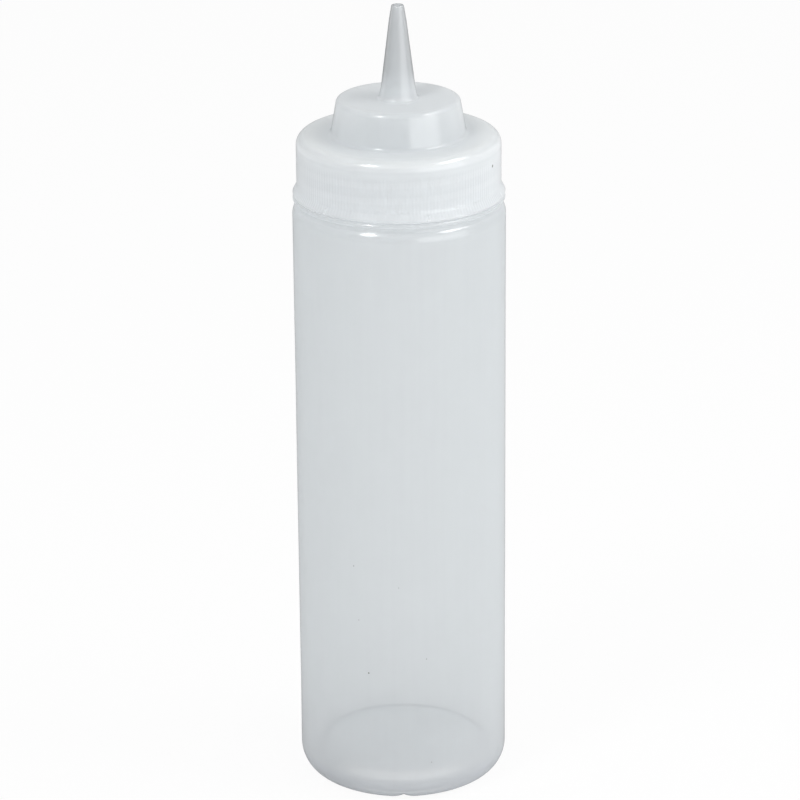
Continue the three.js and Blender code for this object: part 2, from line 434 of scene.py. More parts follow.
def thread_relief(low, high, start_turn, direction):
    """Relief of a right-hand ridge whose centre climbs from low to high."""
    end_turn = start_turn + (high - low) / thread_pitch

    def relief(turn, radius, height):
        wound = start_turn + (height - low) / thread_pitch
        nearest = turn + np.round(wound - turn)
        away = np.abs(wound - nearest) * thread_pitch
        stand = 1 - smooth_step(thread_crest_width / 2, thread_root_width / 2, away)
        from_end = np.minimum(nearest - start_turn, end_turn - nearest)
        fullness = smooth_step(0, thread_run_out, from_end)
        return direction * thread_depth * stand * fullness, 0

    return relief


print("Thread depth:", thread_depth, "mm, pitch:", thread_pitch, "mm")

# %% [markdown]
# ## The bottle
#
# The bottle is blown from a soft tube inside a mould. Its wall is thin and even, its heel and
# shoulder are round, and the base is pushed up deep inside a narrow standing ring. Modelling
# only the outside and adding a Solidify modifier would be quicker, but the base, the heel and
# the neck are thicker than the wall, and light shows that in milky plastic. So the outline
# runs over the underside, the outside, the rim and the inside in one go. The frame gives the
# body's radius and the rim's height, and the other sizes start from these two.

# %% Bottle sizes
bottle_top_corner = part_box("bottle")[1] / mm
body_radius = bottle_top_corner.x
rim_top = bottle_top_corner.z
body_wall = 1.1
heel_width = 6.3
heel_height = 8.2
shoulder_width = 3.4
shoulder_height = 4.2
neck_radius = body_radius - 5
neck_inner_radius = neck_radius - 1.2
neck_height = 17.3
groove_depth = 1.45
groove_gap = 0.8
bead_radius = body_radius - 0.2
bead_height = 1.4
bead_top = rim_top - neck_height
bead_bottom = bead_top - bead_height
body_height = bead_bottom - groove_gap
print("Body height:", round(body_height, 1), "mm, radius:", round(body_radius, 1), "mm")

# %% [markdown]
# ### The base
#
# The middle of the base is pushed up so that the bottle stands on a ring and doesn't rock. A
# low straight scar across its underside is left where the mould's halves pinched the tube. A
# sculpted scar would do as well. As a relief of the distance from a straight line it takes
# one function and stays exact.

# %% Pinch scar
scar_width = 1.3
scar_crest = 0.195
scar_height = 0.45
scar_reach = 21.0
scar_fade = 3.0


def pinch_scar(turn, radius, height):
    """A low ridge across the underside, along the line where the mould closes."""
    across = np.abs(radius * np.sin(2 * math.pi * turn))
    ridge = 1 - smooth_step(scar_crest, scar_width, across)
    reach = 1 - smooth_step(scar_reach - scar_fade, scar_reach, radius)
    return 0, -scar_height * ridge * reach


print("Scar across the base:", scar_height, "mm high")

# %% Base of the bottle
base_thickness = 1.6
base_rise = 5.8
base_crown = 0.6
base_round = 1.2
foot_round = 0.3
heel_centre = body_radius - heel_width
recess_radius = heel_centre - 1.2
recess_top_radius = recess_radius - 0.2
panel_radius = recess_top_radius + base_thickness
panel_level = base_rise + base_thickness
crown_rings = (0, 0.02, 0.05, 0.1, 0.18, 0.28, 0.4, 0.52, 0.64, 0.76, 0.88, 1)


def crowned_panel(rim_radius, rim_height):
    """The slightly domed panel, from its middle to its rim."""
    crown = [base_crown * (1 - ring**2) for ring in crown_rings]
    return [(rim_radius * ring, rim_height + up) for ring, up in zip(crown_rings, crown)]


def base_underside():
    corner = (recess_top_radius - base_round, base_rise - base_round)
    foot = (recess_radius + foot_round, foot_round)
    return [
        Band(crowned_panel(corner[0], base_rise)[:-1], relief=pinch_scar),
        Band(arc(corner, base_round, 90, 0, steps=5)),
        Band(arc(foot, foot_round, 180, 270, steps=4)),
    ]


def base_upper_side(trough_end):
    """From the bottom of the trough up the panel's side and to its middle."""
    corner = (panel_radius - base_round, panel_level - base_round)
    return [
        Band(line(trough_end, (panel_radius, corner[1]), steps=4)[1:-1]),
        Band(arc(corner, base_round, 0, 90, steps=6)),
        Band(crowned_panel(corner[0], panel_level)[::-1][1:]),
    ]


print("Pushed-up base:", base_rise, "mm deep")

# %% [markdown]
# ### The heel
#
# The same pinch leaves a small notch at the front and at the back of the heel, where the
# bottle's outline dips in. Cutting it with a wedge would leave hard edges. Here the rings of
# the heel are pushed in and slightly up, less and less towards the notch's sides and top.

# %% Heel and its notches
notch_depth = 0.95
notch_width = 8.0
notch_height = 3.4
notch_full_height = 0.3 * notch_height
notch_set_in = (-0.3, 0.25)
notch_lift = 0.4


def parting_notch(turn, radius, height):
    """A soft valley with a sharp bottom, at the front and the back of the heel."""
    from_seam = from_nearest(2 * turn) * math.pi * radius
    valley = np.clip(1 - from_seam / (notch_width / 2), 0, 1) ** 2
    fade = 1 - smooth_step(notch_full_height, notch_height, height)
    depth = notch_depth * valley * fade * smooth_step(*notch_set_in, height)
    return -depth, notch_lift * depth


def heel():
    curve = arc((heel_centre, heel_height), (heel_width, heel_height), -90, 0, steps=22)
    return Band(curve, relief=parting_notch)


print("Notch:", notch_depth, "mm deep and", notch_width, "mm wide")

# %% [markdown]
# ### The wall
#
# Blown walls shrink a little unevenly as they cool, and that is what bends the reflections on
# them. Random noise would look lumpy. Two slow waves of different lengths that lean against
# each other give the long soft swells of the real wall. They only ever move it inward.

# %% Body wall
wall_rows = 36
wall_unevenness = 0.1
swell_run_in = 20
swell_run_out = 30


class Swell(NamedTuple):
    """A wave that goes round the wall, leans with the height and comes and goes with it."""

    around: int
    lean: float
    start: float
    pulse: float
    pulse_start: float
    share: float


swells = (
    Swell(around=2, lean=0.021, start=0.0, pulse=0.034, pulse_start=1.1, share=0.6),
    Swell(around=5, lean=-0.047, start=0.6, pulse=0.06, pulse_start=0.0, share=0.4),
)


def uneven_wall(turn, radius, height):
    sway = -1
    for swell in swells:
        wave = np.sin(swell.around * 2 * math.pi * turn + swell.lean * height + swell.start)
        pulse = math.sin(swell.pulse * height + swell.pulse_start)
        sway = sway + swell.share * wave * pulse
    straight_end = body_height - shoulder_height
    ends = smooth_step(heel_height, heel_height + swell_run_in, height)
    ends = ends * (1 - smooth_step(body_height - swell_run_out, straight_end, height))
    return wall_unevenness * ends * sway / 2, 0


def body_wall_band():
    low, high = (body_radius, heel_height), (body_radius, body_height - shoulder_height)
    return Band(line(low, high, wall_rows)[1:-1], relief=uneven_wall)


print("Wall unevenness: at most", wall_unevenness, "mm")

# %% [markdown]
# ### Shoulder, bead and neck
#
# The shoulder rounds in to a shallow groove, and a bead above the groove stops the cap's lip.
# Above the bead stands the neck with its thread. Straight chamfers would give the same
# outline, but highlights show such small shapes, so the shoulder and the bead are true arcs.

# %% Shoulder and bead
shoulder_centre = (body_radius - shoulder_width, body_height - shoulder_height)
shoulder_stop = 2  # degrees short of the groove, so that the two meet in a soft corner
bead_foot_round = 0.3


def shoulder_and_bead():
    radii = (shoulder_width, shoulder_height)
    bottom = body_radius - groove_depth
    end = math.degrees(math.acos(1 - groove_depth / shoulder_width)) - shoulder_stop
    bead_round = bead_height / 2
    bead_centre = (bead_radius - bead_round, bead_bottom + bead_round)
    return [
        Band(arc(shoulder_centre, radii, 0, end, steps=12)),
        Band([(bottom, body_height), (bottom, bead_bottom - bead_foot_round / 2)]),
        Band([(bottom + bead_foot_round, bead_bottom)]),
        Band(arc(bead_centre, bead_round, -90, 90, steps=10)),
        Band([(neck_radius + bead_foot_round, bead_top)]),
    ]


print("Groove depth:", groove_depth, "mm")

# %% Outside of the neck
neck_rows = 76
rim_round = 0.3
thread_above_bead = 3.1
thread_below_rim = 1.3
thread_low = bead_top + thread_above_bead + thread_root_width / 2
thread_high = rim_top - thread_below_rim - thread_root_width / 2


def neck_outside():
    low, high = (neck_radius, bead_top + rim_round), (neck_radius, rim_top - rim_round)
    ridge = thread_relief(thread_low, thread_high, start_turn=0, direction=1)
    return Band(line(low, high, neck_rows), relief=ridge)


print("Neck thread from", round(thread_low, 1), "to", round(thread_high, 1), "mm")

# %% Rim and inside of the bottle
neck_inner_foot = body_height + 1.6


def inner_heel():
    """The inside of the heel, down to the trough beside the pushed-up panel."""
    radii = (heel_width - body_wall, heel_height - base_thickness)
    trough_radius = recess_radius + base_thickness
    end = -math.degrees(math.acos((trough_radius - heel_centre) / radii[0]))
    return arc((heel_centre, heel_height), radii, 0, end, steps=16)


def rim_and_inside():
    outer = (neck_radius - rim_round, rim_top - rim_round)
    inner = (neck_inner_radius + rim_round, rim_top - rim_round)
    shoulder_radii = (shoulder_width - body_wall, shoulder_height - body_wall)
    wall_top = (body_radius - body_wall, shoulder_centre[1])
    trough = inner_heel()
    neck = line((neck_inner_radius, inner[1]), (neck_inner_radius, neck_inner_foot), steps=8)
    return [
        Band(arc(outer, rim_round, 0, 90, steps=4)[1:]),
        Band(arc(inner, rim_round, 90, 180, steps=4)),
        Band(neck[1:]),
        Band(arc(shoulder_centre, shoulder_radii, 90, 0, steps=10)),
        Band(line(wall_top, trough[0], steps=24)[1:-1]),
        Band(trough),
        *base_upper_side(trough[-1]),
    ]


print("Wall at the rim:", round(neck_radius - neck_inner_radius, 1), "mm")

# %% Bottle wall
bottle_bands = [
    *base_underside(), heel(), body_wall_band(),
    *shoulder_and_bead(), neck_outside(), *rim_and_inside(),
]
bottle_wall = turned_skin("bottle_wall", bottle_bands, closed=False)

# %% [markdown]
# ## The cap
#
# The cap is injection-moulded in one piece, so its edges are crisper than the bottle's. Fine
# upright ribs for grip run over the skirt and its flared lip, a smooth band lies above them,
# and the hub and nozzle rise from the top. Modelling a rib and copying it round with an Array
# modifier would also work. As a relief, the ribs follow the flare by themselves. Six small
# lugs inside the lip keep the cap centred as it starts to turn.

# %% Cap sizes
cap_low, cap_high = (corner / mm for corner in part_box("screw_cap"))
skirt_bottom = cap_low.z
nozzle_top = cap_high.z
lip_radius = cap_high.x
skirt_radius = lip_radius - 1.3
skirt_wall = 1.5
skirt_inner_radius = skirt_radius - skirt_wall
lip_inner_radius = lip_radius - skirt_wall
flare_top = skirt_bottom + 3.15
hub_top = nozzle_top - 31
cap_top = hub_top - 11.8
ceiling = cap_top - 1.5
rib_top = cap_top - 5.1
print("Skirt:", round(cap_top - skirt_bottom, 1), "mm high")

# %% Ribs
rib_count = 180
rib_depth = 0.06
rib_columns = 4 * rib_count
rib_foot = skirt_bottom + 1.4
rib_run_out = 0.6
plain_band_gap = 0.2
lip_round = 0.7
lip_chamfer = 0.2


def ribs(turn, radius, height):
    """Upright ribs whose crests are on the outline. They run out softly at both ends."""
    wave = (1 - np.cos(2 * math.pi * rib_count * turn)) / 2
    start = smooth_step(rib_foot - rib_run_out, rib_foot, height)
    end = 1 - smooth_step(rib_top - rib_run_out, rib_top, height)
    return -rib_depth * wave * start * end, 0


def ribbed_skirt():
    edge = (lip_radius - lip_round, skirt_bottom + lip_round)
    lip_edge = [(lip_inner_radius + lip_chamfer, skirt_bottom), (edge[0], skirt_bottom)]
    lip_bend = arc(edge, lip_round, -80, 0, steps=5)
    flare = line((lip_radius, edge[1]), (skirt_radius, flare_top), steps=6)[1:]
    upright = line((skirt_radius, flare_top), (skirt_radius, rib_top), steps=10)[1:]
    return [
        Band(lip_edge, rib_columns),
        Band([*lip_bend, *flare, *upright], rib_columns, ribs),
        Band([(skirt_radius, rib_top + plain_band_gap)], rib_columns),
    ]


print("Ribs:", rib_count)

# %% Lugs
lug_count = 6
lug_width = 0.9
lug_depth = 0.8
lug_height = 2.0
lug_foot = skirt_bottom + 0.3
first_lug_turn = 16 / 360
lug_side_round = 0.15
lug_end_round = 0.1


def lip_lugs(turn, radius, height):
    """Six small bars inside the lip."""
    around = 2 * math.pi * radius
    across = from_nearest((turn - first_lug_turn) * lug_count) / lug_count * around
    bar = 1 - smooth_step(lug_width / 2 - lug_side_round, lug_width / 2 + lug_side_round, across)
    top = lug_foot + lug_height
    above = smooth_step(lug_foot - lug_end_round, lug_foot + lug_end_round, height)
    below = 1 - smooth_step(top - lug_end_round, top + lug_end_round, height)
    return -lug_depth * bar * above * below, 0


print("Lugs:", lug_count)

# %% [markdown]
# ### Top, hub and nozzle
#
# The skirt rounds over into the cap's top, the hub rises from it with a rounded rim and foot,
# and the long nozzle tapers to a tip with a small ledge, where users cut it. A Bevel modifier
# could round plain cylinders. Drawn as arcs in the outline, each round has its own size, which
# sets how thick the highlights on it are.

# %% Hub
top_edge_round = 3.65
hub_radius = 21.9
hub_rim_radius = hub_radius - 1.5
hub_wall = 1.5
hub_rim_round = 1.7
hub_foot_round = 1.5
nozzle_radius = 6.06
nozzle_foot_round = 1.2
nozzle_columns = 120


def cap_outside():
    edge = (skirt_radius - top_edge_round, cap_top - top_edge_round)
    foot = (hub_radius + hub_foot_round, cap_top + hub_foot_round)
    rim = (hub_rim_radius - hub_rim_round, hub_top - hub_rim_round)
    base = (nozzle_radius + nozzle_foot_round, hub_top + nozzle_foot_round)
    return [
        Band(arc(edge, top_edge_round, 0, 90, steps=12)),
        Band(line((edge[0], cap_top), (foot[0], cap_top), steps=3)[1:-1]),
        Band(arc(foot, hub_foot_round, -90, -180, steps=6)),
        Band(line((hub_radius, foot[1]), (hub_rim_radius, rim[1]), steps=5)[1:-1]),
        Band(arc(rim, hub_rim_round, 0, 90, steps=8)),
        Band(line((rim[0], hub_top), (base[0], hub_top), steps=4)[1:-1]),
        Band(arc(base, nozzle_foot_round, -90, -180, steps=6), nozzle_columns),
    ]


print("Hub radius:", hub_radius, "mm")

# %% Nozzle
nozzle_wall = 1.4
tip_radius = 2.2
tip_length = 3.6
tip_step = 0.13
step_softness = 0.5
tip_round = 0.6
tip_bore_radius = 1.4
bore_chamfer = 0.12


def nozzle_outside():
    taper = (nozzle_radius - tip_radius) / (nozzle_top - hub_top)
    step = nozzle_top - tip_length
    step_radius = nozzle_radius - taper * (step - hub_top)
    tip = (tip_radius - tip_step - tip_round, nozzle_top - tip_round)
    foot = (nozzle_radius - taper * nozzle_foot_round, hub_top + nozzle_foot_round)
    run_in = 2 * step_softness
    before_step = (step_radius + taper * run_in, step - run_in)
    return [
        Band(line(foot, before_step, steps=10)[1:], nozzle_columns),
        Band([(step_radius, step - step_softness)], nozzle_columns),
        Band([(step_radius - tip_step, step + step_softness)], nozzle_columns),
        Band(arc(tip, tip_round, 5, 85, steps=6), nozzle_columns),
    ]


def nozzle_bore():
    bore_radius = nozzle_radius - nozzle_wall
    taper = (bore_radius - tip_bore_radius) / (nozzle_top - hub_top)
    bottom = hub_top - hub_wall
    root = bore_radius + taper * hub_wall
    top = (tip_bore_radius, nozzle_top - bore_chamfer)
    return [
        Band([(tip_bore_radius + bore_chamfer, nozzle_top)], nozzle_columns),
        Band(line(top, (root, bottom + bore_chamfer), steps=8), nozzle_columns),
        Band([(root + bore_chamfer, bottom)], nozzle_columns),
    ]


print("Nozzle:", round(nozzle_top - hub_top, 1), "mm high")

# %% [markdown]
# ### Inside of the cap
#
# The cap's ridge has to lie just under the neck's, or the two would cut through each other.
# Both flanks slope, so the gap between them depends on how deep the ridges mesh. The start of
# the cap's helix is worked out from that, which keeps the fit when a size changes.

# %% Thread of the cap
flank_clearance = 0.35
thread_clearance = skirt_inner_radius - neck_radius - thread_depth
cap_thread_low = flare_top + thread_root_width / 2 + flank_clearance


def thread_start():
    """The turn at which the cap's ridge starts, to lie under the neck's with a clearance."""
    flank_slope = (thread_root_width - thread_crest_width) / 2 / thread_depth
    meshed_width = thread_root_width - (thread_depth + thread_clearance) * flank_slope
    return (cap_thread_low + meshed_width + flank_clearance - thread_low) / thread_pitch


cap_thread_start = thread_start()
print("Clearance over the thread's crest:", round(thread_clearance, 2), "mm")

# %% Inside of the cap
cap_thread_rows = 66
ceiling_round = 1.0


def cap_inside():
    ridge = thread_relief(cap_thread_low, thread_high, cap_thread_start, direction=-1)
    hub_ceiling = hub_top - hub_wall
    hub_inner_top = hub_rim_radius - hub_wall
    corner = (hub_inner_top - hub_foot_round, hub_ceiling - hub_foot_round)
    hub_foot = (hub_radius - hub_wall, ceiling)
    edge = (skirt_inner_radius - ceiling_round, ceiling - ceiling_round)
    skirt_top, skirt_foot = (skirt_inner_radius, edge[1]), (skirt_inner_radius, flare_top)
    lip = (lip_inner_radius, skirt_bottom + lip_chamfer)
    return [
        Band(line((nozzle_radius, hub_ceiling), (corner[0], hub_ceiling), steps=3)[:-1]),
        Band(arc(corner, hub_foot_round, 90, 0, steps=5)),
        Band(line((hub_inner_top, corner[1]), hub_foot, steps=5)[1:]),
        Band(line(hub_foot, (edge[0], ceiling), steps=3)[1:-1]),
        Band(arc(edge, ceiling_round, 90, 0, steps=5)),
        Band(line(skirt_top, skirt_foot, cap_thread_rows)[1:-1], relief=ridge),
        Band(line(skirt_foot, lip, steps=20), rib_columns, lip_lugs),
    ]


cap_bands = [
    *ribbed_skirt(), *cap_outside(), *nozzle_outside(), *nozzle_bore(), *cap_inside(),
]
cap_shell = turned_skin("cap_shell", cap_bands, closed=True)

# %% [markdown]
# ## The washer
#
# A flat ring cut from foam sheet lies under the cap's top and is squeezed on the bottle's rim.
# The rim has pressed a shallow track into its underside. Cloth or soft-body tools could press
# that track. It is only seen through the cap or when the cap comes off, so a turned ring with
# soft cut edges and the track as a relief is enough.

# %% Washer
washer_low, washer_high = (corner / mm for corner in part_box("sealing_washer"))
washer_outer = washer_high.x
washer_inner = neck_inner_radius - 1.6
washer_edge = 0.2
track_depth = 0.12
track_half_width = 0.4
track_fade_end = 0.8


def rim_track(turn, radius, height):
    """The shallow track that the rim leaves."""
    from_middle = abs(radius - (neck_radius + neck_inner_radius) / 2)
    track = 1 - smooth_step(track_half_width, track_fade_end, from_middle)
    return 0, np.full_like(turn, track_depth * track)


def make_washer():
    inner, outer = washer_inner + washer_edge, washer_outer - washer_edge
    low, high = washer_low.z + washer_edge, washer_high.z - washer_edge
    underside = line((inner, washer_low.z), (outer, washer_low.z), steps=14)
    return turned_skin("washer", [
        Band(underside, relief=rim_track),
        Band(arc((outer, low), washer_edge, -90, 0, steps=3)[1:]),
        Band(arc((outer, high), washer_edge, 0, 90, steps=3)),
        Band(arc((inner, high), washer_edge, 90, 180, steps=3)),
        Band(arc((inner, low), washer_edge, 180, 270, steps=3)[:-1]),
    ], closed=True)


washer = make_washer()
print("Washer:", round(washer_high.z - washer_low.z, 1), "mm thick")

# %% [markdown]
# ## Milky polyethylene
#
# Low-density polyethylene isn't clear and isn't opaque. Some light goes straight through, some
# comes out spread on the far side and some is thrown back, all under a satin polish. A
# transmission shader with a volume inside would do all that slowly and with much noise. Here
# four plain shaders share each surface: Transparent for what goes straight through,
# Translucent for what glows through, Principled for the milky body and Glossy for the polish.
# Over the surface the body's colour and the shares change. At a glancing angle the way through
# the wall is longer, so less goes straight through and the edges turn grey.

# %% Surface detail
cloud_scale = 34.0
streak_scale = 420.0
streak_stretch = 0.03
peel_scale = 700.0


def noise(graph, place, scale, detail=2.0, roughness=0.5):
    values = {"Vector": place, "Scale": scale, "Detail": detail, "Roughness": roughness}
    return graph.add("ShaderNodeTexNoise", None, values)


def surface_detail(graph, place):
    """Slow milky clouds from uneven cooling, fine upright streaks drawn by the die or by the
    flow in the mould, and the faint orange peel of a moulded skin."""
    stretch = {"Vector": place, "Scale": (1, 1, streak_stretch)}
    drawn = graph.add("ShaderNodeMapping", None, stretch)
    clouds = noise(graph, place, cloud_scale, detail=3.0, roughness=0.55)
    return clouds, noise(graph, drawn, streak_scale), noise(graph, place, peel_scale)


print("Streaks are", round(1 / streak_stretch), "times as long as they are wide")

# %% [markdown]
# ### Flecks
#
# Natural plastic carries a few burnt specks. A noise cut at a high level would scatter them at
# random. Each is placed here by its angle and height, as the distance from a point, so that
# they stay few and sit where they belong.

# %% Flecks
# The angle from the front in degrees, the height and the size of each.
bottle_flecks = [
    (-27.2, 85.4, 0.35), (-1.9, 79.0, 0.30), (-24.5, 66.2, 0.30),
    (-19.0, 47.4, 0.50), (13.1, 52.8, 0.30), (15.7, 14.6, 0.30),
]
cap_flecks = [(64.6, 217.95, 0.65)]


def fleck_mask(graph, place, flecks, radius):
    """1 in the flecks of a wall that stands at a radius."""
    mask = None
    for angle, height, size in flecks:
        turn = math.radians(angle)
        x, y = radius * math.sin(turn) * mm, -radius * math.cos(turn) * mm
        ends = {0: place, 1: (x, y, height * mm)}
        gap = graph.add("ShaderNodeVectorMath", {"operation": "DISTANCE"}, ends, "Value")
        speck = gap.below(size / 2 * mm, size * mm)
        mask = speck if mask is None else mask.at_least(speck)
    return mask


print("Flecks:", len(bottle_flecks), "on the bottle and", len(cap_flecks), "on the cap")

# %% Where a point is
class Spot(NamedTuple):
    """Where a point of a skin is, in millimetres, and in turns from the front towards +X."""

    radius: Wire
    back: Wire
    height: Wire
    turn: Wire


def surface_spot(graph, place):
    parts = graph.add("ShaderNodeSeparateXYZ", None, {0: place})
    x, y, z = (parts.beside(axis) / mm for axis in "XYZ")
    turn = graph.maths("ARCTAN2", x, -y) / (2 * math.pi)
    return Spot(radius=(x * x + y * y) ** 0.5, back=y, height=z, turn=turn)


print("A spot has", ", ".join(Spot._fields))

# %% Milk
class Milk(NamedTuple):
    """How one zone of a moulded piece treats light."""

    colour: tuple
    clear_share: float
    glow_share: float
    edge_grey: float = 0.35
    edge_power: float = 6.0


def mixed_colour(graph, first, second, share, how="MIX"):
    settings = {"data_type": "RGBA", "blend_type": how}
    values = {"A": first, "B": second, "Factor": share}
    return graph.add("ShaderNodeMix", settings, values, "Result")


def zoned_milk(graph, spot, milk, zones):
    """A piece's own milk, and that of each zone where the zone's mask is 1."""
    colour, *shares = milk
    for zone, other in zones:
        mask = zone(spot)
        colour = mixed_colour(graph, colour, other.colour, mask)
        shares = [own + (its - own) * mask for own, its in zip(shares, other[1:])]
    return Milk(colour, *shares)


print("A milk has", ", ".join(Milk._fields))

# %% Shares of light
grazing_limit = 0.06
cloud_strength = 0.08
streak_strength = 0.03
shine_share = 0.06
shine_at_edge = 0.1
shine_power = 5
shine_roughness = 0.14
shine_unevenness = 0.05


def edge_shade(milk, facing):
    """How much light is left at the edges, where it has the longest way through the wall."""
    return 1 - (1 - milk.edge_grey) * facing ** milk.edge_power


def clear_part(milk, facing, clouds, streaks):
    """The share that goes straight through: less through a longer way or a cloud."""
    way_through = 1 / (1 - facing).at_least(grazing_limit)
    haze = cloud_strength * (clouds - 0.5) + streak_strength * (streaks - 0.5)
    return milk.clear_share ** way_through * (1 + haze)


print("Shine at the edge:", round(shine_share + shine_at_edge, 2))

# %% Milky plastic
fleck_colour = (0.16, 0.17, 0.15, 1)
clear_tint = (0.985, 0.99, 0.995, 1)
glow_colour = (0.95, 0.968, 0.978, 1)
body_roughness = 0.5
relief_strength = 0.1
relief_height = 0.01 * mm
peel_share = 0.6


def milky_plastic(name, milk, zones, flecks, fleck_radius):
    """A material for a piece. Zones are pairs of a mask's function and the milk it brings."""
    material = bpy.data.materials.new(name)
    graph = Graph(material)
    place = graph.add("ShaderNodeTexCoord", output="Object")
    clouds, streaks, peel = surface_detail(graph, place)
    dark = fleck_mask(graph, place, flecks, fleck_radius)
    here = zoned_milk(graph, surface_spot(graph, place), milk, zones)

    facing = graph.add("ShaderNodeLayerWeight", None, {"Blend": 0.5}, "Facing")
    shade = edge_shade(here, facing)
    clear = clear_part(here, facing, clouds, streaks) * (1 - dark)
    glow = here.glow_share * shade * (1 - dark)
    shine = shine_share + shine_at_edge * facing**shine_power
    grey = graph.add("ShaderNodeCombineColor", None, {0: shade, 1: shade, 2: shade})
    shaded = mixed_colour(graph, here.colour, grey, 1.0, how="MULTIPLY")
    colour = mixed_colour(graph, shaded, fleck_colour, dark)

    relief = peel_share * peel + (1 - peel_share) * streaks
    bumped = graph.add("ShaderNodeBump", None, {
        "Strength": relief_strength, "Distance": relief_height, "Height": relief})
    body = graph.add("ShaderNodeBsdfPrincipled", None, {
        "Base Color": colour, "Roughness": body_roughness, "Specular IOR Level": 0.0,
        "Normal": bumped})
    lit_through = graph.add("ShaderNodeBsdfTranslucent", None, {
        "Color": glow_colour, "Normal": bumped})
    through = graph.add("ShaderNodeBsdfTransparent", None, {"Color": clear_tint})
    roughness = shine_roughness + shine_unevenness * (clouds - 0.5)
    polish = graph.add("ShaderNodeBsdfGlossy", None, {
        "Color": white, "Roughness": roughness, "Normal": bumped})
    surface = body
    for share, shader in ((glow, lit_through), (clear, through), (shine, polish)):
        surface = graph.add("ShaderNodeMixShader", None, {0: share, 1: surface, 2: shader})
    graph.end("ShaderNodeOutputMaterial", surface)
    return material


print("Fleck colour:", fleck_colour[:3])

# %% [markdown]
# ## Zones of the plastic
#
# The same plastic looks whiter where it is thick and lit and greyer where it is thick and in the
# shade. Some zones carry painted shade: the lower wall, the heel, the standing ring and the back
# of the panel's rim are painted darker. Others carry painted light: the groove under the cap and
# the front of the panel's rim are painted lighter. Painting that by hand on each vertex would
# tie it to the mesh, and separate materials would leave hard borders. Here each zone is a mask
# worked out from the point's radius, height and turn, so one material per piece has soft
# borders, and a zone stays on its feature when the cap turns and rises.

# %% Zones of the cap
nozzle_rise = (hub_top - 1, hub_top + 10)
top_rise = (cap_top - 5, cap_top - 1)
skirt_radii = (hub_radius + 4, hub_radius + 6)
ridge_fade = (0.1, 0.3)
ridge_rise = (cap_thread_low - 1.5, cap_thread_low - 0.5)
ridge_end = (thread_high + 0.5, thread_high + 1.5)
corner_height = ceiling - 1
corner_fade = (0.5, 1.7)
lug_fade = 0.2


def nozzle_zone(spot):
    """1 on the nozzle, whose thick tapered wall bends the light and so looks greyer."""
    return spot.height.above(*nozzle_rise)


def skirt_zone(spot):
    """1 on the skirt, whose wall is thick with its ribs and thread and so looks whiter."""
    return spot.height.below(*top_rise)


def cap_ridge_zone(spot):
    """1 on the skirt where the thread inside makes its wall thick, and round its top corner."""
    wound = (spot.height - cap_thread_low) / thread_pitch + cap_thread_start
    ridge = from_nearest(wound - spot.turn).below(*ridge_fade)
    threaded = spot.height.above(*ridge_rise) * spot.height.below(*ridge_end)
    corner = abs(spot.height - corner_height).below(*corner_fade)
    return spot.radius.above(*skirt_radii) * (ridge * threaded).at_least(corner)


def lug_zone(spot):
    """1 at the lugs inside the lip, which are solid bars of plastic."""
    lug_spacing = 2 * math.pi * lip_radius / lug_count
    across = from_nearest((spot.turn - first_lug_turn) * lug_count) * lug_spacing
    bar = across.below(lug_width / 2 - lug_fade, lug_width / 2 + lug_fade)
    start = spot.height.above(lug_foot, lug_foot + lug_fade)
    top = lug_foot + lug_height
    return bar * start * spot.height.below(top - 2 * lug_fade, top)


print("The thread shows up to", round(ridge_end[1], 1), "mm")

# %% Zones of the neck and the wall
neck_and_groove_rise = (body_height - 2.5, body_height - 0.5)
bead_rise = (bead_top, bead_top + 1)
neck_ridge_radii = (neck_radius + 0.2, neck_radius + 0.9)
lower_shade_rise = (5, 45)


def neck_and_painted_groove_light_zone(spot):
    """1 on the neck and bead, as white as the skirt's, and on the groove as painted light."""
    return spot.height.above(*neck_and_groove_rise)


def neck_ridge_zone(spot):
    """1 on the neck's thread, where the wall is thick."""
    return spot.height.above(*bead_rise) * spot.radius.above(*neck_ridge_radii)


def painted_lower_shade_zone(spot):
    """Rises towards the base: painted shade that darkens the lower wall."""
    return spot.height.below(*lower_shade_rise)


print("The wall's milk changes from", lower_shade_rise[1], "mm down")

# %% Zones of the base
panel_rise = (panel_level + base_crown + 0.5, panel_level + base_crown + 1)
panel_radii = (panel_radius + 0.1, panel_radius + 0.7)
heel_rise = (5.5, 10)
foot_rise = (0.4, 1.2)
foot_radii = (recess_radius - 0.2, recess_radius + 0.2)


def panel_zone(spot):
    """1 on the pushed-up panel, which is the thickest part of the bottle."""
    return spot.height.below(*panel_rise) * spot.radius.below(*panel_radii)


def painted_heel_shade_zone(spot):
    """1 round the heel: painted shade, darker where the wall turns under."""
    return spot.height.below(*heel_rise) * spot.radius.above(*panel_radii)


def painted_foot_shade_zone(spot):
    """1 on the standing ring: painted shade by the floor, letting little light through."""
    return spot.height.below(*foot_rise) * spot.radius.above(*foot_radii)


print("Panel radius:", round(panel_radius, 1), "mm")

# %% Rim of the panel
rim_width = 4.0
rim_middle = panel_radius - rim_width / 4
rim_fade = (0.2 * rim_width, 0.7 * rim_width)
rim_rise = (base_rise - 0.6, base_rise)
under_rise = (base_rise + 0.1, base_rise + 0.6)
recess_radii = (recess_radius + 0.1, recess_radius + 0.4)
back_rim_start = (-0.6 * panel_radius, -0.1 * panel_radius)
front_rim_start = (0.55 * panel_radius, 0.8 * panel_radius)


def panel_rim(spot):
    """1 on the round edge of the pushed-up panel, fading towards its middle."""
    ring = abs(spot.radius - rim_middle).below(*rim_fade)
    return ring * spot.height.above(*rim_rise) * spot.height.below(*panel_rise)


def painted_back_rim_shade_zone(spot):
    """1 round the back and sides of the rim: painted shade, dark through the wall."""
    return panel_rim(spot) * spot.back.above(*back_rim_start)


def painted_front_rim_light_zone(spot):
    """1 at the front of the rim and under it, where the pale ground shines through and a warm,
    lighter band is painted light.
    """
    recess = spot.height.below(*under_rise) * spot.radius.below(*recess_radii)
    front = (-spot.back).above(*front_rim_start)
    return panel_rim(spot).at_least(recess) * front


print("Rim of the panel:", rim_width, "mm wide")

